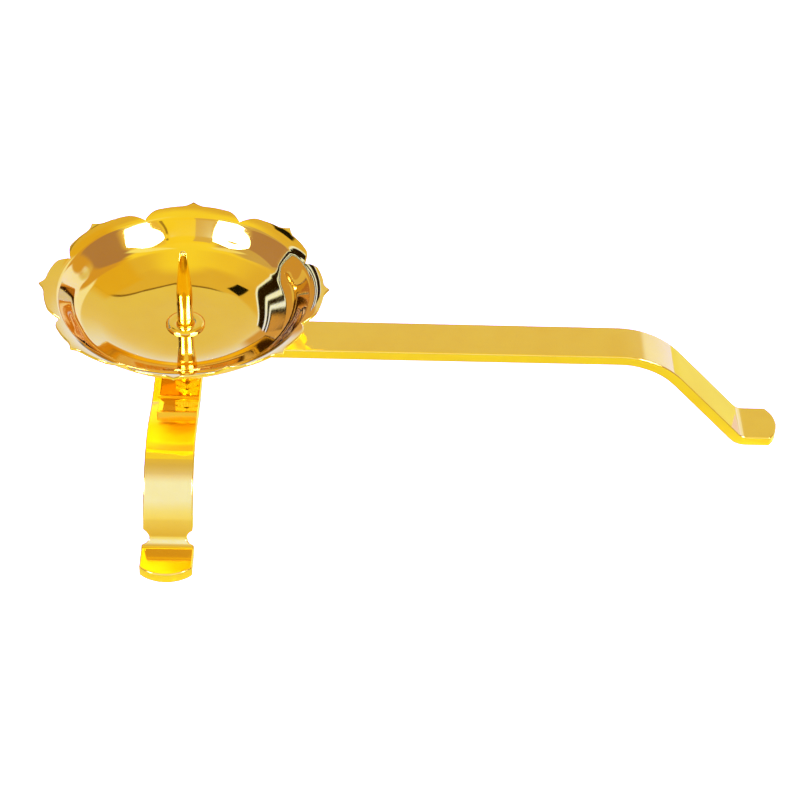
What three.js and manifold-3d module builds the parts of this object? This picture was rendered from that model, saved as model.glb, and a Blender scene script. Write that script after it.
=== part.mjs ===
// Hand candlestick: a lotus dish with a pricket, carried by a bent strap handle and a bridge
// of two cat-foot legs, all drawn up on one threaded tang by nuts underneath.
// Millimetres, +Z up. X runs along the handle, Y along the legs, and the ground is Z = 0.
// The origin is on the ground, under the middle of the whole object.

import * as THREE from 'three';
import { mergeVertices } from 'three/addons/utils/BufferGeometryUtils.js';
import Module from 'manifold-3d';

const wasm = await Module();
wasm.setup();

// Driving dimensions
const dish = {
  petals: 8,
  tipRadius: 60,          // over the petal tips
  lipRadius: 57.85,       // round part of each petal's edge
  notchRadius: 53.2,      // bottom of the cut between two petals
  floorHeight: 52.4,      // top of the flat middle above the ground
  depth: 20.3,            // flat middle to petal tips
  sheet: 1.2,
};
// The dish's section is a line of [radius, height over the middle] corners, each rounded
const bowl = {
  foot: [26, 0],
  footBend: 50,           // wide hollow between the flat middle and the wall
  belly: [45, 8.5],       // where the wall steepens
  bellyBend: 12,
  root: [52, 17.6],       // where the wall turns out into the sloping lip
  rootBend: 2.5,
};
const petal = {
  cuspWidth: 0.22,        // part of a half petal that the pointed tip takes
  lobe: 1.6,              // how far the round edge draws in before the notch
  notchStart: 0.7,        // part of a half petal where the cut toward the notch begins
  notchCurve: 1.6,
  flute: 0.6,             // how far the wall is pressed inward under a notch
};
const strap = { width: 20, thickness: 4.7, edge: 0.6, endRadius: 15 };
const handle = {
  top: 47.8,              // top face of the straight grip
  reach: 254.6,           // dish axis to the handle's far end
  innerEnd: -12.4,        // the near end, cut square, just past the axis
  shoulder: 197.2,        // where the grip's line meets the slope's line
  slope: 47,              // degrees below level
  shoulderRadius: 36,
  toeRadius: 7.5,
};
const leg = {
  reach: 100.5,           // dish axis to the end of a foot
  aside: 2.9,             // the band's middle lies this far off the tang, away from the grip
  valley: 25.9,           // where the level middle starts to rise
  knee: 68.2,             // where the rising line meets the falling one
  rise: 9.9,              // degrees, from the middle up to the knee
  fall: 69.6,             // degrees, from the knee down to the ankle
  valleyRadius: 22,
  kneeRadius: 30.6,
  ankleRadius: 7.3,
  nickRadius: 4,
  nickDepth: 2.5,
  nickPlace: 0.85,        // part of the ankle's bend, from the foot, where the nick sits
  footSwell: 0.6,         // extra half width of a foot past its nick
};
const stack = { bossRadius: 8, sleeveRadius: 4.2, sleeve: 7.8, washerRadius: 6.2, washer: 1 };
const handleNut = { acrossFlats: 10, height: 3 };
const fixingNut = { acrossFlats: 10, height: 4 };
const pricket = {
  tipHeight: 90, tipRadius: 1.35, shankRadius: 3.35, shankTop: 68.4, belly: 0.25,
  tangRadius: 2.5, tangPast: 2.6, tangBevel: 0.5,
};
const seat = { radius: 8.2, height: 1.6, rim: 0.7, land: 0.5 };
const holeClearance = 0.3;  // radius of a hole over the tang

const holeRadius = pricket.tangRadius + holeClearance;
const axisX = (dish.tipRadius - handle.reach) / 2;
const radians = THREE.MathUtils.degToRad;

// Heights of the stack, from the dish down to the tang's end
const dishUnderside = dish.floorHeight - dish.sheet;
const handleUnderside = handle.top - strap.thickness;
const sleeveTop = handleUnderside - handleNut.height;
const legTop = sleeveTop - stack.sleeve;
const legUnderside = legTop - strap.thickness;
const washerUnderside = legUnderside - stack.washer;
const nutUnderside = washerUnderside - fixingNut.height;
const tangEnd = nutUnderside - pricket.tangPast;
const seatTop = dish.floorHeight + seat.height;

// Geometry helpers

function closedGeometry(points, faces) {
  const geometry = new THREE.BufferGeometry();
  geometry.setAttribute('position', new THREE.Float32BufferAttribute(points.flat(), 3));
  geometry.setIndex(faces.flat());
  return geometry;
}

function toManifold(geometry) {
  const bare = geometry.clone();
  bare.deleteAttribute('normal');
  bare.deleteAttribute('uv');
  const merged = mergeVertices(bare, 1e-4);
  return new wasm.Manifold(new wasm.Mesh({
    numProp: 3,
    vertProperties: new Float32Array(merged.attributes.position.array),
    triVerts: new Uint32Array(merged.index.array),
  }));
}

function fromManifold(solid) {
  const mesh = solid.getMesh();
  const geometry = new THREE.BufferGeometry();
  geometry.setAttribute('position', new THREE.BufferAttribute(mesh.vertProperties, 3));
  geometry.setIndex(new THREE.BufferAttribute(mesh.triVerts, 1));
  return geometry;
}

// A solid of revolution round the dish's axis, from [radius, height] pairs
function turned(profile, segments) {
  const outline = profile.map(([r, z]) => new THREE.Vector2(r, z));
  const geometry = new THREE.LatheGeometry(outline, segments);
  geometry.rotateX(Math.PI / 2);
  geometry.translate(axisX, 0, 0);
  return geometry;
}

// The hole for the tang, a little longer than the piece it goes through
function drilled(geometry, low, high) {
  const past = 1;
  const drill = turned([
    [0, low - past], [holeRadius, low - past], [holeRadius, high + past], [0, high + past],
  ], 24);
  return fromManifold(toManifold(geometry).subtract(toManifold(drill)));
}

// A turned ring with bevelled outer edges, bored for the tang
function collar(outer, low, high, bevel) {
  return turned([
    [holeRadius, low], [outer - bevel, low], [outer, low + bevel], [outer, high - bevel],
    [outer - bevel, high], [holeRadius, high], [holeRadius, low],
  ], 36);
}

// A hexagon bar turned down to a bevel at both ends, and bored for the tang
function hexNut(low, { acrossFlats, height }) {
  const high = low + height;
  const corner = acrossFlats / Math.sqrt(3);
  const flat = acrossFlats / 2;
  const bevel = (corner - flat) * 0.6;
  const outside = corner + 0.1;
  const bar = turned([[0, low], [corner, low], [corner, high], [0, high]], 6);
  const cone = turned([
    [0, low], [flat, low], [outside, low + bevel], [outside, high - bevel], [flat, high],
    [0, high],
  ], 48);
  return drilled(fromManifold(toManifold(bar).intersect(toManifold(cone))), low, high);
}

// A line of corners in a plane, with each inner corner rounded to its own radius.
// It is walked by arc length: at(s) gives the point and the normal, which points up.
class BentLine {
  constructor(corners, radii) {
    this.pieces = [];
    this.length = 0;
    let from = corners[0];
    for (let i = 1; i < corners.length - 1; i++) {
      const back = corners[i - 1].clone().sub(corners[i]).normalize();
      const ahead = corners[i + 1].clone().sub(corners[i]).normalize();
      const half = Math.acos(back.dot(ahead)) / 2;
      const cut = radii[i - 1] / Math.tan(half);
      const start = corners[i].clone().addScaledVector(back, cut);
      this.addLine(from, start);
      this.addArc(start, back.clone().negate(), ahead, radii[i - 1], Math.PI - 2 * half);
      from = corners[i].clone().addScaledVector(ahead, cut);
    }
    this.addLine(from, corners.at(-1));
  }

  addLine(from, to) {
    const length = from.distanceTo(to);
    const direction = to.clone().sub(from).normalize();
    this.pieces.push({ start: this.length, length, from, direction, turn: 0 });
    this.length += length;
  }

  addArc(from, direction, ahead, radius, sweep) {
    const turn = Math.sign(direction.cross(ahead)) / radius;
    this.pieces.push({ start: this.length, length: radius * sweep, from, direction, turn });
    this.length += radius * sweep;
  }

  at(s) {
    const piece = this.pieces.findLast((p) => s >= p.start) ?? this.pieces[0];
    const along = s - piece.start;
    const angle = piece.turn * along;
    const side = new THREE.Vector2(-piece.direction.y, piece.direction.x);
    const forward = piece.turn ? Math.sin(angle) / piece.turn : along;
    const sideways = piece.turn ? (1 - Math.cos(angle)) / piece.turn : 0;
    const point = piece.from.clone().addScaledVector(piece.direction, forward);
    point.addScaledVector(side, sideways);
    const normal = side.clone().rotateAround(new THREE.Vector2(), angle);
    return { point, normal };
  }

  // Arc lengths that follow the bends closely and skip the straight runs
  bendMarks(stepAngle) {
    const marks = [];
    for (const { start, length, turn } of this.pieces) {
      const steps = Math.ceil(Math.abs(turn) * length / stepAngle);
      for (let k = 0; k <= steps && steps > 0; k++) marks.push(start + length * k / steps);
    }
    return marks;
  }
}

// The round end of a strap is an arc. Its outline starts this far round from the very tip.
const tipAngle = 0.1;

// Half width of a strap near its round end, at a distance in from the tip
function roundEnd(inset, half) {
  const r = strap.endRadius;
  return inset >= r ? half : Math.min(half, Math.sqrt(r * r - (r - inset) ** 2));
}

// Insets from a tip where the round end has a corner of its outline
function endInsets(half) {
  const widest = Math.asin(half / strap.endRadius);
  const steps = 6;
  return Array.from({ length: steps + 1 }, (_, k) => {
    const angle = tipAngle + (widest - tipAngle) * k / steps;
    return strap.endRadius * (1 - Math.cos(angle));
  });
}

// A flat bar bent along a line. Its plan has a corner [arc length, half width] at each mark,
// and all its long edges are bevelled, round its ends as well.
function bentBar(line, marks, halfAt, place) {
  const { thickness, edge } = strap;
  const nearest = 0.05;
  const leastInset = edge * 0.9;
  const leastTop = 0.7;
  const ordered = [...marks].sort((a, b) => a - b);
  const plan = ordered
    .filter((s, i) => i === 0 || s - ordered[i - 1] > nearest)
    .map((s) => [s, halfAt(s)]);
  const last = plan.length - 1;
  const points = [];
  const faces = [];
  plan.forEach(([s, half], k) => {
    const [s0, half0] = plan[Math.max(k - 1, 0)];
    const [s1, half1] = plan[Math.min(k + 1, last)];
    const outline = new THREE.Vector2(s1 - s0, half1 - half0).normalize();
    if (k === 0) outline.set(Math.sin(tipAngle), Math.cos(tipAngle));
    if (k === last) outline.set(Math.sin(tipAngle), -Math.cos(tipAngle));
    const inset = s + outline.y * edge;
    const topS = THREE.MathUtils.clamp(inset, leastInset, line.length - leastInset);
    const topHalf = Math.max(half - outline.x * edge, half * leastTop);
    const side = 1 - edge / (thickness / 2);
    const upper = [[s, half, side], [topS, topHalf, 1], [topS, -topHalf, 1], [s, -half, side]];
    const lower = upper.map(([a, w, h]) => [a, w, -h]).reverse();
    for (const [a, w, h] of [...upper, ...lower]) {
      const { point, normal } = line.at(a);
      points.push(place(point.addScaledVector(normal, h * thickness / 2), w));
    }
  });
  const section = 8;
  for (let k = 0; k < last; k++) {
    for (let j = 0; j < section; j++) {
      const a = k * section + j;
      const b = k * section + (j + 1) % section;
      faces.push([a, b, b + section], [a, b + section, a + section]);
    }
  }
  const end = last * section;
  for (const [a, b, c, d] of [[0, 1, 2, 3], [0, 3, 4, 7], [4, 5, 6, 7]]) {
    faces.push([a, c, b], [a, d, c]);
    faces.push([end + a, end + b, end + c], [end + a, end + c, end + d]);
  }
  return closedGeometry(points, faces);
}

// Sub-parts

// The dish's section, from its flat middle up to a petal's tip
const wallLine = (() => {
  const start = [holeRadius, 0];
  const tip = [dish.tipRadius, dish.depth];
  return new BentLine(
    [start, bowl.foot, bowl.belly, bowl.root, tip].map(([r, z]) => new THREE.Vector2(r, z)),
    [bowl.footBend, bowl.bellyBend, bowl.rootBend],
  );
})();
const bellyStart = wallLine.pieces[3].start;
const lipStart = wallLine.pieces[6].start;

// The radius of a petal's edge, from its middle (t = 0) to a notch (t = 1): an ogee with a
// small cusp at the tip
function petalEdge(t) {
  const cusp = (dish.tipRadius - dish.lipRadius) * Math.max(0, 1 - t / petal.cuspWidth) ** 2;
  const cut = Math.max(0, (t - petal.notchStart) / (1 - petal.notchStart)) ** petal.notchCurve;
  const notch = dish.lipRadius - dish.notchRadius - petal.lobe;
  return dish.lipRadius + cusp - petal.lobe * t ** 2 - notch * cut;
}

// The upper face at an arc length of the section. Between belly and lip the wall is pressed
// inward under each notch.
function wallPoint(s, t) {
  const { point } = wallLine.at(s);
  const along = THREE.MathUtils.clamp((s - bellyStart) / (lipStart - bellyStart), 0, 1);
  const under = ((1 - Math.cos(Math.PI * t)) / 2) ** 3;
  point.x -= petal.flute * Math.sin(Math.PI * along) ** 2 * under;
  return point;
}

function lotusDish() {
  const halfSteps = 7;
  const clearOfSeat = seat.radius + 1 - holeRadius;
  const rings = [0, clearOfSeat, ...wallLine.bendMarks(radians(7))];
  const lip = wallLine.pieces[6].direction;
  const halfPetal = Math.PI / dish.petals;
  const columns = [];
  for (let p = 0; p < dish.petals; p++) {
    for (let k = -halfSteps; k < halfSteps; k++) {
      const t = (1 - Math.cos(Math.PI * k / halfSteps)) / 2;
      columns.push({ angle: (2 * p + Math.sign(k) * t) * halfPetal, t });
    }
  }
  const points = [];
  const faces = [];
  for (const { angle, t } of columns) {
    const edge = wallLine.length - (dish.tipRadius - petalEdge(t)) / lip.x;
    const upper = [...rings, edge].map((s) => wallPoint(s, t));
    const lower = upper.map((p, k) => {
      if (k < 3) return new THREE.Vector2(p.x, p.y - dish.sheet);
      if (k === upper.length - 1) return new THREE.Vector2(p.x, p.y - dish.sheet / lip.x);
      const along = upper[k + 1].clone().sub(upper[k - 1]).normalize();
      return new THREE.Vector2(p.x + along.y * dish.sheet, p.y - along.x * dish.sheet);
    });
    for (const p of [...upper, ...lower.reverse()]) {
      points.push([
        axisX + p.x * Math.cos(angle), p.x * Math.sin(angle), dish.floorHeight + p.y,
      ]);
    }
  }
  const section = points.length / columns.length;
  for (let c = 0; c < columns.length; c++) {
    const next = (c + 1) % columns.length;
    for (let j = 0; j < section; j++) {
      const a = c * section + j;
      const b = c * section + (j + 1) % section;
      const d = next * section + j;
      const e = next * section + (j + 1) % section;
      faces.push([a, b, e], [a, e, d]);
    }
  }
  return closedGeometry(points, faces);
}

function handleStrap() {
  const middle = handle.top - strap.thickness / 2;
  const foot = strap.thickness / 2;
  const slopeRun = (middle - foot) / Math.tan(radians(handle.slope));
  const line = new BentLine([
    new THREE.Vector2(handle.innerEnd, middle),
    new THREE.Vector2(handle.shoulder, middle),
    new THREE.Vector2(handle.shoulder + slopeRun, foot),
    new THREE.Vector2(handle.reach, foot),
  ], [handle.shoulderRadius, handle.toeRadius]);
  const half = strap.width / 2;
  const bevel = strap.edge / 2;
  const marks = [
    0, bevel, ...line.bendMarks(radians(6)), ...endInsets(half).map((inset) => line.length - inset),
  ];
  const halfAt = (s) => (s < bevel ? half - bevel : roundEnd(line.length - s, half));
  const bar = bentBar(line, marks, halfAt, (p, w) => [axisX + p.x, w, p.y]);
  return drilled(bar, handleUnderside, handle.top);
}

// Both legs are one bar: foot, ankle, knee, level middle, knee, ankle, foot. The middle is
// the lowest part of the saddle, and half-round nicks narrow the bar at each ankle.
function legBand() {
  const middle = legTop - strap.thickness / 2;
  const foot = strap.thickness / 2;
  const knee = middle + (leg.knee - leg.valley) * Math.tan(radians(leg.rise));
  const ankle = leg.knee + (knee - foot) / Math.tan(radians(leg.fall));
  const oneSide = [[leg.valley, middle], [leg.knee, knee], [ankle, foot], [leg.reach, foot]];
  const corners = [...oneSide.map(([y, z]) => [-y, z]).reverse(), ...oneSide];
  const bends = [leg.ankleRadius, leg.kneeRadius, leg.valleyRadius];
  const line = new BentLine(
    corners.map(([y, z]) => new THREE.Vector2(y, z)),
    [...bends, ...bends.slice().reverse()],
  );
  const ankleBend = line.pieces[1];
  const nickAt = ankleBend.start + ankleBend.length * leg.nickPlace;
  const nickHalf = Math.sqrt(leg.nickRadius ** 2 - (leg.nickRadius - leg.nickDepth) ** 2);
  const nickMarks = [-1, -0.85, -0.55, -0.2, 0.2, 0.55, 0.85, 1].map((k) => nickAt + k * nickHalf);
  const half = strap.width / 2;
  const footMarks = [...endInsets(half + leg.footSwell), ...nickMarks];
  const marks = [
    ...line.bendMarks(radians(7)), ...footMarks, ...footMarks.map((s) => line.length - s),
  ];
  const halfAt = (s) => {
    const fromTip = Math.min(s, line.length - s);
    const offNick = Math.abs(fromTip - nickAt);
    const swell = leg.footSwell * THREE.MathUtils.clamp((nickAt - fromTip) / nickHalf, 0, 1);
    const cut = offNick < nickHalf
      ? Math.sqrt(leg.nickRadius ** 2 - offNick ** 2) - leg.nickRadius + leg.nickDepth
      : 0;
    return roundEnd(fromTip, half + swell) - cut;
  };
  const bar = bentBar(line, marks, halfAt, (p, w) => [axisX - leg.aside - w, p.x, p.y]);
  return drilled(bar, legUnderside, legTop);
}

// The pin tapers with a slight belly from a straight shank to a rounded point. Its shoulder
// sits on the candle seat, and its tang goes down through the whole stack.
function pricketPin() {
  const { tipHeight, tipRadius, shankRadius, shankTop, belly } = pricket;
  const { tangRadius, tangBevel } = pricket;
  const steps = 5;
  const point = Array.from({ length: steps + 1 }, (_, k) => {
    const angle = Math.PI / 2 * k / steps;
    return [tipRadius * Math.cos(angle), tipHeight - tipRadius * (1 - Math.sin(angle))];
  });
  point[steps][0] = 0;
  return turned([
    [0, tangEnd], [tangRadius - tangBevel, tangEnd], [tangRadius, tangEnd + tangBevel],
    [tangRadius, seatTop], [shankRadius, seatTop], [shankRadius, shankTop],
    [(tipRadius + shankRadius) / 2 + belly, (shankTop + tipHeight) / 2], ...point,
  ], 32);
}

// A domed washer under the pricket's shoulder, on which the candle's foot sits
function candleSeat() {
  const base = dish.floorHeight;
  const inner = pricket.shankRadius + seat.land;
  const steps = 6;
  const dome = Array.from({ length: steps + 1 }, (_, k) => {
    const angle = Math.PI / 2 * k / steps;
    return [
      inner + (seat.radius - inner) * Math.cos(angle),
      base + seat.rim + (seat.height - seat.rim) * Math.sin(angle),
    ];
  });
  return turned([
    [holeRadius, base], [seat.radius, base], ...dome, [holeRadius, seatTop],
    [holeRadius, base],
  ], 40);
}

// Assembly

const brass = { color: 0xe0b040, metalness: 1 };
const finishes = {
  mirror: { ...brass, roughness: 0.06 },
  turned: { ...brass, roughness: 0.12 },
  plain: { ...brass, roughness: 0.3 },
};

const candlestick = new THREE.Group();

function add(name, geometry, finish) {
  const mesh = new THREE.Mesh(geometry, new THREE.MeshStandardMaterial(finishes[finish]));
  mesh.name = name;
  candlestick.add(mesh);
}

add('lotus_dish', lotusDish(), 'mirror');
add('pricket', pricketPin(), 'turned');
add('candle_seat', candleSeat(), 'turned');
add('dish_boss', collar(stack.bossRadius, handle.top, dishUnderside, 0.4), 'turned');
add('handle_strap', handleStrap(), 'mirror');
add('handle_nut', hexNut(sleeveTop, handleNut), 'plain');
add('leg_sleeve', collar(stack.sleeveRadius, legTop, sleeveTop, 0.3), 'turned');
add('leg_band', legBand(), 'mirror');
add('washer', collar(stack.washerRadius, washerUnderside, legUnderside, 0.15), 'plain');
add('fixing_nut', hexNut(nutUnderside, fixingNut), 'plain');

export default candlestick;
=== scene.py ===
import math

import bmesh
import bpy
import numpy as np
from mathutils import Matrix, Vector


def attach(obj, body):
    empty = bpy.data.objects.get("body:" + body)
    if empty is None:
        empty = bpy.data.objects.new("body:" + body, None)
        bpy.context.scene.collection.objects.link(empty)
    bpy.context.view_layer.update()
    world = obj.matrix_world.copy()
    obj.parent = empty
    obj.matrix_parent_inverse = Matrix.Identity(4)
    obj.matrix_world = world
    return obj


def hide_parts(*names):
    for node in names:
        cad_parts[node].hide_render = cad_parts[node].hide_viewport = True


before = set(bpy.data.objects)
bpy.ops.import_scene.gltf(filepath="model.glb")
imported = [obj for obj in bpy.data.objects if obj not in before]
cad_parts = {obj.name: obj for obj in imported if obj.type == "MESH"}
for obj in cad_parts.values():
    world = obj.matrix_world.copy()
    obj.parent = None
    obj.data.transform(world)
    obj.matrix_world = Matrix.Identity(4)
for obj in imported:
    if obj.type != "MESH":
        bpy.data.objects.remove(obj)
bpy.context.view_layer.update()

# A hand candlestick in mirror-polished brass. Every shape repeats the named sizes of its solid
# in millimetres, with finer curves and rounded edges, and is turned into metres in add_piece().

MM = 0.001

# Sizes in millimetres, as in the solids
DISH = dict(petals=8, tip_radius=60, lip_radius=57.85, notch_radius=53.2, floor_height=52.4,
            depth=20.3, sheet=1.2)
BOWL = dict(foot=(26, 0), foot_bend=50, belly=(45, 8.5), belly_bend=12, root=(52, 17.6),
            root_bend=2.5)
PETAL = dict(cusp_width=0.22, lobe=1.6, notch_start=0.7, notch_curve=1.6, flute=0.6)
STRAP = dict(width=20, thickness=4.7, end_radius=15)
HANDLE = dict(top=47.8, reach=254.6, inner_end=-12.4, shoulder=197.2, slope=47,
              shoulder_radius=36, toe_radius=7.5)
LEG = dict(reach=100.5, aside=2.9, valley=25.9, knee=68.2, rise=9.9, fall=69.6,
           valley_radius=22, knee_radius=30.6, ankle_radius=7.3, nick_radius=4,
           nick_depth=2.5, nick_place=0.85, foot_swell=0.6)
STACK = dict(boss_radius=8, sleeve_radius=4.2, sleeve=7.8, washer_radius=6.2, washer=1)
HANDLE_NUT = dict(across_flats=10, height=3)
FIXING_NUT = dict(across_flats=10, height=4)
PRICKET = dict(tip_height=90, tip_radius=1.35, shank_radius=3.35, shank_top=68.4, belly=0.25,
               tang_radius=2.5, tang_past=2.6)
SEAT = dict(radius=8.2, height=1.6)
HOLE_RADIUS = PRICKET["tang_radius"] + 0.3

AXIS_X = (DISH["tip_radius"] - HANDLE["reach"]) / 2
DISH_UNDERSIDE = DISH["floor_height"] - DISH["sheet"]
HANDLE_UNDERSIDE = HANDLE["top"] - STRAP["thickness"]
SLEEVE_TOP = HANDLE_UNDERSIDE - HANDLE_NUT["height"]
LEG_TOP = SLEEVE_TOP - STACK["sleeve"]
LEG_UNDERSIDE = LEG_TOP - STRAP["thickness"]
WASHER_UNDERSIDE = LEG_UNDERSIDE - STACK["washer"]
NUT_UNDERSIDE = WASHER_UNDERSIDE - FIXING_NUT["height"]
TANG_END = NUT_UNDERSIDE - PRICKET["tang_past"]

# Fineness and soft edges, in millimetres
EDGE_RADIUS = 0.6           # rounded long edges of the straps
RIM_RADIUS = 0.4            # rounded edge of the dish's sheet
LIP_SWELL = 0.3             # the petals' lip is this much fuller in its middle than a cone
STATION = 0.4               # distance between cross sections of a strap
EDGE_STEPS = 5
TIP_INSET = 0.08            # a round end stays this far inside its solid's flat tip
SEAT_RIM, SEAT_DOME = 0.3, 150      # the seat's dome goes up from a low rim, over and down
SHANK_GAP = 0.05            # between the pin's shank and the seat
NUT_FACE = 0.96             # a nut's flat face, as a share of its half width
TURNED_SEGMENTS = 128
THREAD = dict(pitch=0.8, depth=0.4, bevel=0.5, step=0.05, segments=96)
SHANK_FOOT = (DISH["floor_height"] + SEAT_RIM
              + (SEAT["height"] - SEAT_RIM) * math.sin(math.radians(SEAT_DOME)))


# Mesh helpers

def add_piece(name, points, faces, material, node, slot, sharp_angle=None):
    """A closed mesh from millimetre points, riding on the body and standing for its node."""
    mesh = bpy.data.meshes.new(name)
    mesh.from_pydata((np.asarray(points) * MM).tolist(), [], faces)
    work = bmesh.new()
    work.from_mesh(mesh)
    bmesh.ops.remove_doubles(work, verts=work.verts, dist=1e-7)
    bmesh.ops.dissolve_degenerate(work, edges=work.edges, dist=1e-7)
    bmesh.ops.recalc_face_normals(work, faces=work.faces)
    for face in work.faces:
        face.smooth = True
    work.to_mesh(mesh)
    work.free()
    if sharp_angle is not None:
        mesh.set_sharp_from_angle(angle=math.radians(sharp_angle))
    piece = bpy.data.objects.new(name, mesh)
    bpy.context.scene.collection.objects.link(piece)
    mesh.materials.append(material)
    weighted = piece.modifiers.new("even shading", "WEIGHTED_NORMAL")
    weighted.keep_sharp = True
    weighted.weight = 100
    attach(piece, "root")
    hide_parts(node)
    return piece


def grid_faces(rows, columns, wrap_rows):
    """Quads over rows of points, where each row closes on itself."""
    faces = []
    for i in range(rows if wrap_rows else rows - 1):
        a, b = i * columns, (i + 1) % rows * columns
        for j in range(columns):
            k = (j + 1) % columns
            faces.append((a + j, a + k, b + k, b + j))
    return faces


def soften(profile, radius, steps=4):
    """Rounds the corners of a [radius, height] profile, apart from its two ends."""
    pts = [np.array(p, float) for p in profile]
    out = [pts[0]]
    for before, corner, after in zip(pts, pts[1:], pts[2:]):
        back, ahead = before - corner, after - corner
        reach_back, reach_ahead = np.linalg.norm(back), np.linalg.norm(ahead)
        back, ahead = back / reach_back, ahead / reach_ahead
        half = math.acos(np.clip(back @ ahead, -1, 1)) / 2
        if half > math.radians(85):
            out.append(corner)
            continue
        cut = min(radius / math.tan(half), 0.45 * reach_back, 0.45 * reach_ahead)
        start, end = corner + back * cut, corner + ahead * cut
        centre = corner + (back + ahead) / np.linalg.norm(back + ahead) * cut / math.cos(half)
        a, b = start - centre, end - centre
        sweep = math.pi - 2 * half
        for k in range(steps + 1):
            t = k / steps * sweep
            out.append(centre + (a * math.sin(sweep - t) + b * math.sin(t)) / math.sin(sweep))
    out.append(pts[-1])
    return np.array(out)


def turned(profile, segments, closed):
    """Points and faces of a solid of revolution round the dish's axis."""
    profile = np.asarray(profile, float)
    angle = np.arange(segments) * 2 * math.pi / segments
    r, z = profile[:, 0, None], profile[:, 1, None]
    points = np.stack([AXIS_X + r * np.cos(angle), r * np.sin(angle),
                       np.broadcast_to(z, (len(profile), segments))], axis=-1)
    return points.reshape(-1, 3), grid_faces(len(profile), segments, closed)


class BentLine:
    """A line of corners in a plane, each inner corner rounded, walked by arc length."""

    def __init__(self, corners, radii):
        corners = [np.array(c, float) for c in corners]
        self.start, self.origin, self.heading, self.turn = [], [], [], []
        self.length = 0.0
        at = corners[0]
        for before, corner, after, radius in zip(corners, corners[1:], corners[2:], radii):
            back = (before - corner) / np.linalg.norm(before - corner)
            ahead = (after - corner) / np.linalg.norm(after - corner)
            half = math.acos(back @ ahead) / 2
            cut = radius / math.tan(half)
            self._add(at, -back, np.linalg.norm(corner + back * cut - at), 0.0)
            side = math.copysign(1, -back[0] * ahead[1] + back[1] * ahead[0])
            self._add(corner + back * cut, -back, radius * (math.pi - 2 * half), side / radius)
            at = corner + ahead * cut
        run = corners[-1] - at
        self._add(at, run / np.linalg.norm(run), np.linalg.norm(run), 0.0)
        self.start = np.array(self.start)

    def _add(self, origin, heading, length, turn):
        self.start.append(self.length)
        self.origin.append(origin)
        self.heading.append(heading)
        self.turn.append(turn)
        self.length += length

    def at(self, s):
        """Points and upward normals at an array of arc lengths."""
        i = np.clip(np.searchsorted(self.start, s, side="right") - 1, 0, None)
        origin, heading = np.array(self.origin)[i], np.array(self.heading)[i]
        turn, along = np.array(self.turn)[i], s - self.start[i]
        side = np.stack([-heading[..., 1], heading[..., 0]], axis=-1)
        angle = turn * along
        safe = np.where(turn == 0, 1, turn)
        forward = np.where(turn == 0, along, np.sin(angle) / safe)[..., None]
        sideways = np.where(turn == 0, 0, (1 - np.cos(angle)) / safe)[..., None]
        point = origin + heading * forward + side * sideways
        normal = side * np.cos(angle)[..., None] - heading * np.sin(angle)[..., None]
        return point, normal


def smooth_outline(raw, softness=0.35, fine=0.1):
    """Half the outline of a strap, [arc length, half width] from middle to middle, with its
    corners rubbed soft."""
    raw = np.asarray(raw, float)
    walked = np.concatenate([[0], np.cumsum(np.linalg.norm(np.diff(raw, axis=0), axis=1))])
    marks = np.linspace(0, walked[-1], int(round(walked[-1] / fine)) + 1)
    s, w = np.interp(marks, walked, raw[:, 0]), np.interp(marks, walked, raw[:, 1])
    reach = int(4 * softness / fine)
    kernel = np.exp(-0.5 * (np.arange(-reach, reach + 1) * fine / softness) ** 2)
    kernel /= kernel.sum()
    s = np.convolve(np.pad(s, reach, mode="reflect"), kernel, "valid")
    w = np.convolve(np.pad(w, reach, mode="reflect", reflect_type="odd"), kernel, "valid")
    keep = np.unique(np.round(np.linspace(0, len(s) - 1, int(walked[-1] / STATION))).astype(int))
    slope = np.stack([np.gradient(s), np.gradient(w)], axis=1)
    slope /= np.linalg.norm(slope, axis=1)[:, None]
    slope[0], slope[-1] = (0, 1), (0, -1)
    w[0] = w[-1] = 0
    return np.stack([s, w], axis=1)[keep], slope[keep]


def bent_bar(line, raw_outline, place):
    """Points and faces of a flat bar with rounded edges, bent along a line."""
    outline, slope = smooth_outline(raw_outline)
    inward = np.stack([slope[:, 1], -slope[:, 0]], axis=1)
    arc = np.radians(np.linspace(90, 0, EDGE_STEPS + 1))
    inset = EDGE_RADIUS * (1 - np.cos(arc))
    rise = STRAP["thickness"] / 2 - EDGE_RADIUS * (1 - np.sin(arc))
    inset, rise = np.concatenate([inset, inset[::-1]]), np.concatenate([rise, -rise[::-1]])
    ring = outline[:, None] + inward[:, None] * inset[None, :, None]
    ring[[0, -1], :, 1] = 0
    mirrored = ring[:, ::-1] * (1, -1)
    ring = np.concatenate([ring, mirrored], axis=1)
    rise = np.concatenate([rise, rise[::-1]])
    point, normal = line.at(ring[..., 0])
    point = point + normal * rise[None, :, None]
    points = place(point, ring[..., 1]).reshape(-1, 3)
    return points, grid_faces(len(outline), ring.shape[1], False)


# Sub-parts

def wall_line():
    """The dish's section from its flat middle to a petal's tip."""
    start, tip = (HOLE_RADIUS, 0), (DISH["tip_radius"], DISH["depth"])
    return BentLine([start, BOWL["foot"], BOWL["belly"], BOWL["root"], tip],
                    [BOWL["foot_bend"], BOWL["belly_bend"], BOWL["root_bend"]])


def petal_edge(t):
    """The radius of a petal's edge, from its middle (t = 0) to a notch (t = 1)."""
    d, p = DISH, PETAL
    cusp = (d["tip_radius"] - d["lip_radius"]) * np.clip(1 - t / p["cusp_width"], 0, 1) ** 2
    cut = np.clip((t - p["notch_start"]) / (1 - p["notch_start"]), 0, 1) ** p["notch_curve"]
    notch = d["lip_radius"] - d["notch_radius"] - p["lobe"]
    return d["lip_radius"] + cusp - p["lobe"] * t ** 2 - notch * cut


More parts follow.
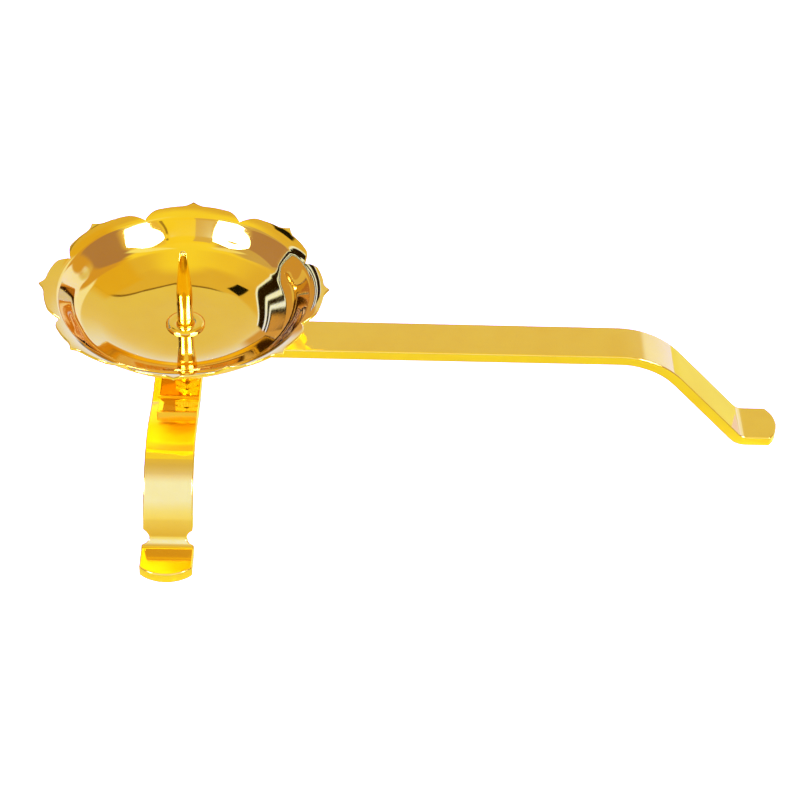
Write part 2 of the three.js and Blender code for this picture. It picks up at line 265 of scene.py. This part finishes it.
def wall_points(line, s, t):
    """Points of the upper face and its normals in the section. Between belly and lip the wall
    is pressed inward under each notch, and the lip swells a little."""
    s, t = np.broadcast_arrays(s, t)
    point, normal = line.at(s)
    belly, lip = line.start[3], line.start[6]
    along = np.clip((s - belly) / (lip - belly), 0, 1)
    under = ((1 - np.cos(math.pi * t)) / 2) ** 3
    press = PETAL["flute"] * np.sin(math.pi * along) ** 2 * under
    beyond = np.clip((s - lip) / (line.length - lip), 0, 1)
    swell = LIP_SWELL * 4 * beyond * (1 - beyond)
    return point - np.stack([press, 0 * press], axis=-1) + normal * swell[..., None], normal


def lotus_dish(material):
    half_steps, bowl_rows, lip_rows = 30, 120, 12
    k = np.arange(-half_steps, half_steps)
    t = np.tile((1 - np.cos(math.pi * k / half_steps)) / 2, DISH["petals"])
    sign = np.tile(np.sign(k), DISH["petals"])
    middle = np.repeat(np.arange(DISH["petals"]) * 2, len(k))
    angle = (middle + sign * t) * math.pi / DISH["petals"]

    line = wall_line()
    lip = line.start[6]
    along = np.array(line.heading[6])
    edge = (line.length - (DISH["tip_radius"] - petal_edge(t)) / along[0]
            - RIM_RADIUS * (1 + along[1]) / along[0])
    lower_edge = edge - (DISH["sheet"] - 2 * RIM_RADIUS) * along[1] / along[0]
    bowl = np.broadcast_to(np.linspace(0, lip, bowl_rows)[:, None], (bowl_rows, len(t)))
    share = np.linspace(0, 1, lip_rows + 1)[1:, None]
    upper, _ = wall_points(line, np.concatenate([bowl, lip + share * (edge - lip)]), t)
    below, normal = wall_points(line, np.concatenate([bowl, lip + share * (lower_edge - lip)]), t)
    lower = (below - normal * DISH["sheet"])[::-1]

    out, under = along, np.array([along[1], -along[0]])
    turn = np.radians(np.linspace(90, 0, EDGE_STEPS + 1))[1:, None, None]
    near = upper[-1] + under * RIM_RADIUS
    far = below[-1] + under * (DISH["sheet"] - RIM_RADIUS)
    rim = np.concatenate([
        near + RIM_RADIUS * (out * np.cos(turn) - under * np.sin(turn)),
        (far + RIM_RADIUS * (out * np.cos(turn) + under * np.sin(turn)))[::-1],
    ])
    section = np.concatenate([upper, rim, lower])
    points = np.stack([
        AXIS_X + section[..., 0] * np.cos(angle), section[..., 0] * np.sin(angle),
        DISH["floor_height"] + section[..., 1],
    ], axis=-1)
    faces = grid_faces(len(section), len(angle), True)
    add_piece("dish_shell", points.reshape(-1, 3), faces, material, "lotus_dish",
              "polished_brass")


def round_tip(reach, half):
    """Outline points of a round end, from its widest place to the very tip."""
    r = STRAP["end_radius"]
    angle = np.linspace(math.asin(half / r), 0, 60)
    return np.stack([reach - TIP_INSET - r * (1 - np.cos(angle)), r * np.sin(angle)], axis=1)


def handle_strap(material):
    middle, foot = HANDLE["top"] - STRAP["thickness"] / 2, STRAP["thickness"] / 2
    run = (middle - foot) / math.tan(math.radians(HANDLE["slope"]))
    line = BentLine([(HANDLE["inner_end"], middle), (HANDLE["shoulder"], middle),
                     (HANDLE["shoulder"] + run, foot), (HANDLE["reach"], foot)],
                    [HANDLE["shoulder_radius"], HANDLE["toe_radius"]])
    half = STRAP["width"] / 2
    across = np.linspace(0, half, 50)
    square_end = np.stack([0.1 * (across / half) ** 2, across], axis=1)
    outline = np.concatenate([square_end, round_tip(line.length, half)])

    def place(p, w):
        return np.stack([AXIS_X + p[..., 0], w, p[..., 1]], axis=-1)
    add_piece("grip_strap", *bent_bar(line, outline, place), material, "handle_strap",
              "polished_brass")


def leg_band(material):
    middle, foot = LEG_TOP - STRAP["thickness"] / 2, STRAP["thickness"] / 2
    knee = middle + (LEG["knee"] - LEG["valley"]) * math.tan(math.radians(LEG["rise"]))
    ankle = LEG["knee"] + (knee - foot) / math.tan(math.radians(LEG["fall"]))
    side = [(LEG["valley"], middle), (LEG["knee"], knee), (ankle, foot), (LEG["reach"], foot)]
    bends = [LEG["ankle_radius"], LEG["knee_radius"], LEG["valley_radius"]]
    line = BentLine([(-y, z) for y, z in reversed(side)] + side, bends + bends[::-1])
    ankle_bend = line.start[2] - line.start[1]
    nick_at = line.start[1] + ankle_bend * LEG["nick_place"]
    r = LEG["nick_radius"]
    nick_half = math.sqrt(r ** 2 - (r - LEG["nick_depth"]) ** 2)
    half = STRAP["width"] / 2
    tip = round_tip(0, half + LEG["foot_swell"])[::-1] * (-1, 1)
    s = np.arange(tip[-1, 0] + 0.02, line.length / 2, 0.05)
    off = np.abs(s - nick_at)
    swell = LEG["foot_swell"] * np.clip((nick_at - s) / nick_half, 0, 1)
    cut = np.where(off < nick_half,
                   np.sqrt(np.clip(r ** 2 - off ** 2, 0, None)) - r + LEG["nick_depth"], 0)
    one_end = np.concatenate([tip, np.stack([s, half + swell - cut], axis=1)])
    outline = np.concatenate([one_end, (one_end * (-1, 1) + (line.length, 0))[::-1]])

    def place(p, w):
        return np.stack([AXIS_X - LEG["aside"] - w, p[..., 0], p[..., 1]], axis=-1)
    add_piece("leg_bridge", *bent_bar(line, outline, place), material, "leg_band",
              "polished_brass")


def pricket_pin(material):
    """The pin with a rounded point, a slight belly and a screw thread on its tang."""
    p = PRICKET
    angle = np.radians(np.linspace(0, 90, 9))
    point = np.stack([p["tip_radius"] * np.cos(angle),
                      p["tip_height"] - p["tip_radius"] * (1 - np.sin(angle))], axis=1)
    t = np.linspace(0, 1, 14)[:-1]
    straight = p["shank_radius"] + (p["tip_radius"] - p["shank_radius"]) * t
    cone = np.stack([straight + 4 * p["belly"] * t * (1 - t),
                     p["shank_top"] + (p["tip_height"] - p["tip_radius"] - p["shank_top"]) * t],
                    axis=1)
    corners = soften([(p["tang_radius"], SHANK_FOOT - 1), (p["tang_radius"], SHANK_FOOT),
                      (p["shank_radius"], SHANK_FOOT), (p["shank_radius"], p["shank_top"] - 1)],
                     0.1)
    upper = np.concatenate([corners, cone, point])
    segments, bevel = THREAD["segments"], THREAD["bevel"]
    z = np.arange(TANG_END, NUT_UNDERSIDE + 1, THREAD["step"])
    turn = np.arange(segments) / segments
    phase = (z[:, None] / THREAD["pitch"] - turn) % 1
    groove = THREAD["depth"] * np.abs(2 * phase - 1)
    end = np.clip((z - TANG_END) / bevel, 0, 1)[:, None]
    r = np.minimum(p["tang_radius"] - groove, p["tang_radius"] - bevel * (1 - end))
    thread = np.stack([AXIS_X + r * np.cos(2 * math.pi * turn),
                       r * np.sin(2 * math.pi * turn),
                       np.broadcast_to(z[:, None], r.shape)], axis=-1)
    smooth_points, _ = turned(upper, segments, False)
    centre = np.broadcast_to((AXIS_X, 0, TANG_END), (segments, 3))
    points = np.concatenate([centre, thread.reshape(-1, 3), smooth_points])
    faces = grid_faces(len(points) // segments, segments, False)
    add_piece("pricket_pin", points, faces, material, "pricket", "turned_brass", 50)


def candle_seat(material):
    """A domed ring that dips a little toward the pin."""
    base, hole = DISH["floor_height"], PRICKET["shank_radius"] + SHANK_GAP
    angle = np.radians(np.linspace(0, SEAT_DOME, 24))
    reach = (SEAT["radius"] - hole) / (1 - math.cos(angle[-1]))
    dome = np.stack([SEAT["radius"] - reach * (1 - np.cos(angle)),
                     base + SEAT_RIM + (SEAT["height"] - SEAT_RIM) * np.sin(angle)], axis=1)
    profile = np.concatenate([[(HOLE_RADIUS, base), (SEAT["radius"] - 0.2, base),
                               (SEAT["radius"], base + 0.1)], dome, [(HOLE_RADIUS, dome[-1, 1])]])
    points, faces = turned(profile, TURNED_SEGMENTS, True)
    add_piece("seat_ring", points, faces, material, "candle_seat", "turned_brass", 50)


def collar(name, node, slot, outer, low, high, edge, material):
    """A turned ring with rounded outer edges, bored for the tang."""
    profile = soften([(HOLE_RADIUS, low), (outer, low), (outer, high), (HOLE_RADIUS, high)], edge)
    points, faces = turned(profile, TURNED_SEGMENTS, True)
    add_piece(name, points, faces, material, node, slot, 50)


def hex_nut(name, node, low, size, material):
    """A hexagon nut, turned to a cone at both ends."""
    flat, high = size["across_flats"] / 2, low + size["height"]
    segments = 144
    turn = np.arange(segments) * 2 * math.pi / segments
    side = flat / np.cos((turn + math.pi / 6) % (math.pi / 3) - math.pi / 6)
    chamfer = (side - flat) * math.tan(math.radians(30))
    same = np.ones(segments)
    section = [(HOLE_RADIUS * same, low * same), (flat * NUT_FACE * same, low * same),
               (side - 0.02, low + chamfer), (side, low + chamfer + 0.05),
               (side, high - chamfer - 0.05), (side - 0.02, high - chamfer),
               (flat * NUT_FACE * same, high * same), (HOLE_RADIUS * same, high * same)]
    points = [np.stack([AXIS_X + r * np.cos(turn), r * np.sin(turn), z], axis=1)
              for r, z in section]
    add_piece(name, np.concatenate(points), grid_faces(len(section), segments, True), material,
              node, "hardware_brass", 25)


# Materials

GOLD, DEEP_GOLD = (0.94, 0.62, 0.035), (0.92, 0.58, 0.03)
DULL_GOLD, DULL_DEEP = (0.80, 0.56, 0.16), (0.72, 0.48, 0.13)
LACQUER, LACQUER_ROUGH = 0.25, 0.02
TONE_SCALE, LINE_SCALE, SWELL_SCALE = 70, 900, 45      # of the noise, per metre


def new_material(name):
    material = bpy.data.materials.new(name)
    material.use_nodes = True
    nodes = material.node_tree.nodes
    return material, nodes, material.node_tree.links, nodes["Principled BSDF"]


def noise(nodes, links, source, scale, detail=2.0, stretch=(1, 1, 1)):
    mapping = nodes.new("ShaderNodeMapping")
    mapping.inputs["Scale"].default_value = stretch
    texture = nodes.new("ShaderNodeTexNoise")
    texture.inputs["Scale"].default_value = scale
    texture.inputs["Detail"].default_value = detail
    links.new(source, mapping.inputs["Vector"])
    links.new(mapping.outputs["Vector"], texture.inputs["Vector"])
    return texture.outputs["Fac"]


def spread(nodes, links, source, low, high, from_low=0.3, from_high=0.7):
    ranged = nodes.new("ShaderNodeMapRange")
    ranged.inputs["From Min"].default_value = from_low
    ranged.inputs["From Max"].default_value = from_high
    ranged.inputs["To Min"].default_value = low
    ranged.inputs["To Max"].default_value = high
    links.new(source, ranged.inputs["Value"])
    return ranged.outputs["Result"]


def bump(nodes, links, height, distance):
    node = nodes.new("ShaderNodeBump")
    node.inputs["Distance"].default_value = distance
    node.inputs["Strength"].default_value = 1.0
    links.new(height, node.inputs["Height"])
    return node


def brass(name, colour, deep, rough, wave, scratch, stretch, underside=None):
    """Polished brass: a little tone variation, a faint waviness and fine polishing lines. An
    underside can be left satin."""
    material, nodes, links, shader = new_material(name)
    place = nodes.new("ShaderNodeTexCoord").outputs["Object"]
    shader.inputs["Metallic"].default_value = 1.0
    shader.inputs["Coat Weight"].default_value = LACQUER
    shader.inputs["Coat Roughness"].default_value = LACQUER_ROUGH
    tone = nodes.new("ShaderNodeMix")
    tone.data_type = "RGBA"
    tone.inputs["A"].default_value = (*colour, 1)
    tone.inputs["B"].default_value = (*deep, 1)
    cloud = noise(nodes, links, place, TONE_SCALE, 4)
    links.new(spread(nodes, links, cloud, 0, 1), tone.inputs["Factor"])
    links.new(tone.outputs["Result"], shader.inputs["Base Color"])
    lines = noise(nodes, links, place, LINE_SCALE, 3, stretch)
    roughness = spread(nodes, links, lines, *rough)
    if underside is not None:
        facing = nodes.new("ShaderNodeSeparateXYZ")
        links.new(nodes.new("ShaderNodeNewGeometry").outputs["Normal"], facing.inputs["Vector"])
        satin = nodes.new("ShaderNodeMix")
        links.new(spread(nodes, links, facing.outputs["Z"], 1, 0, -0.3, -0.1),
                  satin.inputs["Factor"])
        links.new(roughness, satin.inputs["A"])
        satin.inputs["B"].default_value = underside
        roughness = satin.outputs["Result"]
    links.new(roughness, shader.inputs["Roughness"])
    swell = bump(nodes, links, noise(nodes, links, place, SWELL_SCALE, 1), wave)
    fine = bump(nodes, links, lines, scratch)
    links.new(swell.outputs["Normal"], fine.inputs["Normal"])
    links.new(fine.outputs["Normal"], shader.inputs["Normal"])
    return material


# Stage, light and camera

class Graph:
    """A few shorthands for arithmetic nodes."""

    def __init__(self, tree):
        self.nodes, self.links = tree.nodes, tree.links

    def put(self, value, socket):
        if isinstance(value, (int, float)):
            socket.default_value = value
        else:
            self.links.new(value, socket)

    def math(self, operation, *values):
        node = self.nodes.new("ShaderNodeMath")
        node.operation = operation
        for value, socket in zip(values, node.inputs):
            self.put(value, socket)
        return node.outputs["Value"]

    def ease(self, value, start, end):
        """0 at start and 1 at end, smooth between."""
        node = self.nodes.new("ShaderNodeMapRange")
        node.interpolation_type = "SMOOTHSTEP"
        self.put(value, node.inputs["Value"])
        node.inputs["From Min"].default_value = start
        node.inputs["From Max"].default_value = end
        return node.outputs["Result"]

    def ramp(self, value, stops):
        """A light over value, from stops of (value, light)."""
        low, high = stops[0][0], stops[-1][0]
        peak = float(max(max(light) for _, light in stops))
        node = self.nodes.new("ShaderNodeValToRGB")
        elements = node.color_ramp.elements
        while len(elements) < len(stops):
            elements.new(0.5)
        for element, (place, light) in zip(elements, stops):
            element.position = (place - low) / (high - low)
            element.color = (*(level / peak for level in light), 1)
        share = self.math("DIVIDE", self.math("SUBTRACT", value, float(low)), float(high - low))
        self.links.new(share, node.inputs["Fac"])
        scaled = self.nodes.new("ShaderNodeVectorMath")
        scaled.operation = "SCALE"
        self.links.new(node.outputs["Color"], scaled.inputs[0])
        scaled.inputs["Scale"].default_value = peak
        return scaled.outputs["Vector"]

    def mix(self, factor, first, second):
        node = self.nodes.new("ShaderNodeMix")
        node.data_type = "RGBA"
        self.put(factor, node.inputs["Factor"])
        for value, socket in ((first, node.inputs["A"]), (second, node.inputs["B"])):
            if isinstance(value, tuple):
                socket.default_value = (*value, 1)
            else:
                self.links.new(value, socket)
        return node.outputs["Result"]


# The paper's colour and glow for the eye. In what the brass mirrors, the paper is painted a yellow
# tint with a glow of its own, a painted reflection; in what it mirrors twice it glows brighter and
# unshadowed, painted light under the dish.
PAPER, PAPER_GLOW = (0.9, 0.9, 0.9), (0.35, 0.35, 0.35)
PAINTED_REFLECTION_TINT, PAINTED_REFLECTION_GLOW, PAINTED_TWICE_GLOW = (0.42, 0.45, 0.07), (0.3, 0.29, 0.2), (1.3, 1.55, 0.8)
FLOOR_HALF = 20.0

# The light of the white card over its height, and of the dim one toward the dish, in metres
CARD_HALF, WHITE_CARD_Y, DIM_CARD_Z = 0.06, -0.150, 0.148
WHITE_CARD = [(0.0, (0.7, 0.55, 0.5)), (0.006, (0.86, 0.8, 1.1)), (0.016, (1.0, 1.12, 2.6)),
              (0.032, (1.0, 1.2, 4.0)), (0.06, (1.0, 1.35, 9.0)), (0.13, (1.0, 1.35, 9.0)),
              (0.17, (0.95, 1.1, 5.5)), (0.21, (0.85, 0.9, 3.7))]
DIM_CARD = [(-0.125, (0.85, 0.9, 3.7)), (-0.107, (0.8, 0.8, 2.2)), (-0.09, (0.76, 0.7, 1.3)),
            (-0.068, (0.85, 0.78, 0.8))]


def studio_floor():
    mesh = bpy.data.meshes.new("studio_floor")
    far = FLOOR_HALF
    mesh.from_pydata([(-far, -far, 0), (far, -far, 0), (far, far, 0), (-far, far, 0)], [],
                     [(0, 1, 2, 3)])
    floor = bpy.data.objects.new("studio_floor", mesh)
    bpy.context.scene.collection.objects.link(floor)
    material, nodes, links, shader = new_material("white_paper_painted_reflections")
    shader.inputs["Roughness"].default_value = 1.0
    shader.inputs["Specular IOR Level"].default_value = 0.0
    g = Graph(material.node_tree)
    path = g.nodes.new("ShaderNodeLightPath")
    # Mirrored rays see the paper painted yellow with its own glow, a painted reflection; rays
    # mirrored twice see a brighter glow with no shadow, painted light.
    mirrored, twice = path.outputs["Is Glossy Ray"], g.ease(path.outputs["Glossy Depth"], 1, 2)
    links.new(g.mix(mirrored, PAPER, PAINTED_REFLECTION_TINT), shader.inputs["Base Color"])
    once = g.mix(mirrored, PAPER_GLOW, PAINTED_REFLECTION_GLOW)
    links.new(g.mix(twice, once, PAINTED_TWICE_GLOW), shader.inputs["Emission Color"])
    shader.inputs["Emission Strength"].default_value = 1.0
    mesh.materials.append(material)


def card(name, corners, axis, light):
    """A card close to the front leg that is seen by mirrored rays only. Its light changes along
    one axis."""
    mesh = bpy.data.meshes.new(name)
    mesh.from_pydata(corners, [], [(0, 1, 2, 3)])
    piece = bpy.data.objects.new(name, mesh)
    bpy.context.scene.collection.objects.link(piece)
    piece.visible_camera = piece.visible_diffuse = piece.visible_shadow = False
    material, nodes, links, shader = new_material(name)
    g = Graph(material.node_tree)
    place = g.nodes.new("ShaderNodeSeparateXYZ")
    links.new(g.nodes.new("ShaderNodeTexCoord").outputs["Object"], place.inputs["Vector"])
    shader.inputs["Base Color"].default_value = (0, 0, 0, 1)
    shader.inputs["Specular IOR Level"].default_value = 0.0
    links.new(g.ramp(place.outputs[axis], light), shader.inputs["Emission Color"])
    shader.inputs["Emission Strength"].default_value = 1.0
    mesh.materials.append(material)


def leg_cards():
    """A white card before the leg and a dim one over its knee, both below the sight lines
    from the dish."""
    left, right = AXIS_X * MM - CARD_HALF, AXIS_X * MM + CARD_HALF
    front, top = WHITE_CARD_Y, WHITE_CARD[-1][0]
    card("white_card", [(left, front, 0), (right, front, 0), (right, front, top),
                        (left, front, top)], "Z", WHITE_CARD)
    near, far, above = DIM_CARD[0][0], DIM_CARD[-1][0], DIM_CARD_Z
    card("dim_card", [(left, near, above), (right, near, above), (right, far, above),
                      (left, far, above)], "Y", DIM_CARD)


# The studio that the brass mirrors. Angles in degrees: turn is clockwise from the camera's side,
# seen from above, and rise is above the horizon. SKY gives the light over the rise, and the paper
# behind the object has its own. BACKDROP_TOP is the rise of the paper's upper edge over the turn,
# counted from the far side. Each patch has its half widths, the softness of its edge and its
# light; lean moves it with the rise and taper narrows it upward. ARCH is a curtain in dark and
# light stripes that follow a hill, given by their rise above it. TWICE holds what is only seen
# in a mirror image of a mirror image, as on the pin.
SKY = [(-90, (0.7, 0.65, 0.5)), (-1, (0.9, 0.85, 0.6)), (0.5, (0.1, 0.08, 0.06)),
       (2.5, (0.1, 0.08, 0.06)), (4, (0.75, 0.65, 0.9)), (30, (0.75, 0.6, 0.8)),
       (52, (0.9, 0.78, 0.6)), (64, (1.04, 1.02, 0.5)), (90, (1.0, 1.0, 0.45))]
BACK_SKY = (0.8, 0.66, 0.5)
SOFT_LIGHT, WHITE = (0.9, 0.9, 0.9), (1.0, 1.0, 1.0)
BACKDROP = [(0, (0.15, 0.12, 0.1)), (2, (0.15, 0.12, 0.1)), (4, (0.9, 1.15, 4.0)),
            (14, (0.88, 1.05, 3.5)), (26, (0.85, 0.85, 1.6)), (40, (0.82, 0.8, 1.2)),
            (60, (0.85, 0.85, 1.2))]
BACKDROP_TOP = [(0, 63), (17, 57), (30, 49), (42, 42), (55, 34), (64, 24), (72, 5)]
BACKDROP_EDGE = (0.25, 0.17, 0.12)
BACKDROP_LEFT, BACKDROP_RIGHT = 26.0, 66.0
BACK_SKY_REACH, BACK_SKY_TOP = (75, 45), (84, 70)
STUDIO = [
    dict(turn=-122, rise=52, half_turn=20, half_rise=10, edge=6, light=(0.82, 0.62, 0.22)),
    dict(turn=-140, rise=20, half_turn=11, half_rise=20, edge=6, lean=0.6,
         light=(1.0, 1.2, 4.5)),
    dict(turn=-112, rise=38, half_turn=12, half_rise=18, edge=8, light=(0.72, 0.48, 0.35)),
    dict(turn=-86, rise=36, half_turn=16, half_rise=19, edge=8, light=(0.47, 0.31, 0.8)),
    dict(turn=-124, rise=10, half_turn=9, half_rise=6, edge=3, light=(1.0, 1.2, 6.0)),
    dict(turn=76, rise=42, half_turn=26, half_rise=16, edge=10, light=(0.66, 0.56, 1.1)),
    dict(turn=75, rise=25, half_turn=24, half_rise=7, edge=4, light=(0.49, 0.33, 0.9)),
    dict(turn=0, rise=48, half_turn=28, half_rise=14, edge=5, light=(1.02, 0.98, 0.35)),
    dict(turn=20, rise=46, half_turn=11, half_rise=10, edge=1.5, light=(0.76, 0.64, 0.95)),
    dict(turn=3, rise=14, half_turn=22, half_rise=20, edge=6, light=(1.0, 1.3, 7.0)),
    dict(turn=150, rise=10, half_turn=11, half_rise=9, edge=4, light=(0.68, 0.46, 0.4)),
    dict(turn=-60, rise=66, half_turn=10, half_rise=15, edge=8, light=(1.05, 1.24, 2.9)),
    dict(turn=66, rise=62, half_turn=8, half_rise=8, edge=6, light=(1.0, 1.1, 2.5)),
    dict(turn=-45, rise=40, half_turn=16, half_rise=9, edge=1.5, taper=0.85,
         light=(20.0, 22.0, 120.0)),
    dict(turn=43, rise=38, half_turn=14, half_rise=8, edge=1.5, taper=0.35,
         light=(20.0, 22.0, 120.0)),
    dict(turn=-27, rise=42, half_turn=1, half_rise=3, edge=1.5, light=(0.4, 0.3, 0.2)),
    dict(turn=144, rise=53, half_turn=6, half_rise=3, edge=1, light=(0.01, 0.01, 0.01)),
]
ARCH = dict(top=43, middle=130, curve=0.03, left=94, right=156, low=-30, high=4)
ARCH_DARK, ARCH_PALE, ARCH_BROWN = (0.02, 0.01, 0.0), (1.0, 1.4, 9.0), (0.64, 0.42, 0.4)
ARCH_STRIPES = [(-30, ARCH_BROWN), (-10, ARCH_BROWN), (-9.7, ARCH_DARK), (-9, ARCH_DARK),
                (-8.7, ARCH_PALE), (-7.8, ARCH_PALE), (-7.5, ARCH_DARK), (-6, ARCH_DARK),
                (-5.5, ARCH_PALE), (-4, ARCH_PALE), (-3.5, ARCH_DARK), (2, ARCH_DARK),
                (2.5, ARCH_PALE), (4, ARCH_PALE)]
TWICE = [
    dict(turn=-50, rise=44, half_turn=22, half_rise=14, edge=2, light=(40.0, 60.0, 800.0)),
    dict(turn=44, rise=44, half_turn=17, half_rise=14, edge=3, light=(40.0, 60.0, 800.0)),
    dict(turn=-98, rise=31, half_turn=14, half_rise=6, edge=3, light=(0.8, 1.3, 20.0)),
    dict(turn=-90, rise=43, half_turn=5, half_rise=7, edge=2, light=(0.04, 0.02, 0.01)),
    dict(turn=100, rise=48, half_turn=14, half_rise=9, edge=4, light=(0.04, 0.02, 0.01)),
    dict(turn=160, rise=33, half_turn=9, half_rise=4, edge=3, light=(0.08, 0.04, 0.01)),
]


def world_light():
    world = bpy.data.worlds.new("studio")
    world.use_nodes = True
    bpy.context.scene.world = world
    g = Graph(world.node_tree)
    direction = g.nodes.new("ShaderNodeTexCoord").outputs["Generated"]
    split = g.nodes.new("ShaderNodeSeparateXYZ")
    g.links.new(direction, split.inputs["Vector"])
    x, y, z = (split.outputs[axis] for axis in "XYZ")
    rise = g.math("MULTIPLY", g.math("ARCSINE", z), math.degrees(1))
    turn = g.math("MULTIPLY", g.math("ARCTAN2", g.math("MULTIPLY", x, -1.0),
                                     g.math("MULTIPLY", y, -1.0)), math.degrees(1))
    from_back = g.math("SUBTRACT", 180.0, g.math("ABSOLUTE", turn))
    light = g.ramp(rise, SKY)
    at_back = g.math("MULTIPLY", g.ease(from_back, *BACK_SKY_REACH), g.ease(rise, *BACK_SKY_TOP))
    light = g.mix(at_back, light, BACK_SKY)

    to_right = g.math("LESS_THAN", turn, 0.0)
    reach = g.math("ADD", BACKDROP_LEFT,
                   g.math("MULTIPLY", to_right, BACKDROP_RIGHT - BACKDROP_LEFT))
    over = g.math("SUBTRACT", from_back, reach)
    top = g.ramp(from_back, [(a, (r, r, r)) for a, r in BACKDROP_TOP])
    above = g.math("SUBTRACT", rise, top)
    paper = g.math("MULTIPLY", g.ease(above, 0.5, -0.5), g.ease(over, 4, 0))
    light = g.mix(paper, light, g.ramp(rise, BACKDROP))
    line = g.math("MULTIPLY", g.ease(g.math("ABSOLUTE", above), 1.6, 0.5), g.ease(over, -2, -8))
    light = g.mix(line, light, BACKDROP_EDGE)

    def patch(part):
        """The share of a patch in a direction, from 0 to 1."""
        from_foot = g.math("SUBTRACT", rise, float(part["rise"] - part["half_rise"]))
        middle = g.math("ADD", part["turn"] - part.get("lean", 0) * float(part["half_rise"]),
                        g.math("MULTIPLY", from_foot, float(part.get("lean", 0))))
        off = g.math("ABSOLUTE", g.math("WRAP", g.math("SUBTRACT", turn, middle), 180.0, -180.0))
        narrowing = part["half_turn"] * part.get("taper", 0) / (2 * part["half_rise"])
        climb = g.math("MINIMUM", g.math("MAXIMUM", from_foot, 0.0), 2.0 * part["half_rise"])
        off = g.math("ADD", off, g.math("MULTIPLY", climb, float(narrowing)))
        aside = g.ease(off, part["half_turn"] + part["edge"], part["half_turn"])
        away = g.math("ABSOLUTE", g.math("SUBTRACT", rise, float(part["rise"])))
        inside = g.ease(away, part["half_rise"] + part["edge"], part["half_rise"])
        return g.math("MULTIPLY", aside, inside)

    for part in STUDIO:
        light = g.mix(patch(part), light, part["light"])

    along = g.math("SUBTRACT", turn, float(ARCH["middle"]))
    drop = g.math("MULTIPLY", g.math("MULTIPLY", along, along), ARCH["curve"])
    above = g.math("SUBTRACT", g.math("ADD", rise, drop), float(ARCH["top"]))
    sides = g.math("MULTIPLY", g.ease(turn, ARCH["left"], ARCH["left"] + 1),
                   g.ease(turn, ARCH["right"], ARCH["right"] - 1))
    ends = g.math("MULTIPLY", g.ease(above, ARCH["high"], ARCH["high"] - 0.7),
                  g.ease(above, ARCH["low"], ARCH["low"] + 1))
    light = g.mix(g.math("MULTIPLY", sides, ends), light, g.ramp(above, ARCH_STRIPES))

    path = g.nodes.new("ShaderNodeLightPath")
    twice = g.ease(path.outputs["Glossy Depth"], 1, 2)
    for part in TWICE:
        light = g.mix(g.math("MULTIPLY", twice, patch(part)), light, part["light"])
    light = g.mix(path.outputs["Is Diffuse Ray"], light, SOFT_LIGHT)
    light = g.mix(path.outputs["Is Camera Ray"], light, WHITE)
    g.links.new(light, g.nodes["Background"].inputs["Color"])


def photo_camera():
    """The camera of the photograph, solved from the petals, the pin and the handle."""
    pan, tilt, roll = (math.radians(a) for a in (1.7415, 40.2425, 2.3312))
    ahead = Vector((math.sin(pan) * math.cos(tilt), math.cos(pan) * math.cos(tilt),
                    -math.sin(tilt)))
    right = Vector((math.cos(pan), -math.sin(pan), 0))
    up = right.cross(ahead)
    across = right * math.cos(roll) + up * math.sin(roll)
    upward = up * math.cos(roll) - right * math.sin(roll)
    turn = Matrix((across, upward, -ahead)).transposed().to_4x4()
    data = bpy.data.cameras.new("photo_camera")
    data.lens, data.sensor_width, data.sensor_fit = 99.738, 36, "HORIZONTAL"
    camera = bpy.data.objects.new("photo_camera", data)
    camera.matrix_world = Matrix.Translation((-0.028584, -0.727584, 0.629332)) @ turn
    bpy.context.scene.collection.objects.link(camera)
    bpy.context.scene.camera = camera


bpy.context.scene.view_settings.view_transform = "Standard"
photo_camera()
studio_floor()
leg_cards()
world_light()

mirror_dish = brass("mirror_brass_dish", GOLD, DEEP_GOLD, (0.03, 0.06), 0.00004, 0.0000015,
                    (1, 1, 1), underside=0.45)
mirror_long = brass("mirror_brass_handle", GOLD, DEEP_GOLD, (0.03, 0.07), 0.00003, 0.000002,
                    (0.05, 1, 1))
mirror_leg = brass("mirror_brass_leg", GOLD, DEEP_GOLD, (0.03, 0.07), 0.00003, 0.000002,
                   (1, 0.05, 1))
turned_brass = brass("turned_brass", GOLD, DEEP_GOLD, (0.05, 0.10), 0.00001, 0.000003,
                     (0.3, 0.3, 4))
plain_brass = brass("plain_brass", DULL_GOLD, DULL_DEEP, (0.2, 0.35), 0.00001, 0.00001,
                    (1, 1, 1))

lotus_dish(mirror_dish)
handle_strap(mirror_long)
leg_band(mirror_leg)
pricket_pin(turned_brass)
candle_seat(turned_brass)
collar("boss_disc", "dish_boss", "turned_brass", STACK["boss_radius"], HANDLE["top"],
       DISH_UNDERSIDE, 0.4, turned_brass)
collar("sleeve_ring", "leg_sleeve", "turned_brass", STACK["sleeve_radius"], LEG_TOP,
       SLEEVE_TOP, 0.3, turned_brass)
collar("washer_ring", "washer", "hardware_brass", STACK["washer_radius"], WASHER_UNDERSIDE,
       LEG_UNDERSIDE, 0.15, plain_brass)
hex_nut("upper_nut", "handle_nut", SLEEVE_TOP, HANDLE_NUT, plain_brass)
hex_nut("lower_nut", "fixing_nut", NUT_UNDERSIDE, FIXING_NUT, plain_brass)
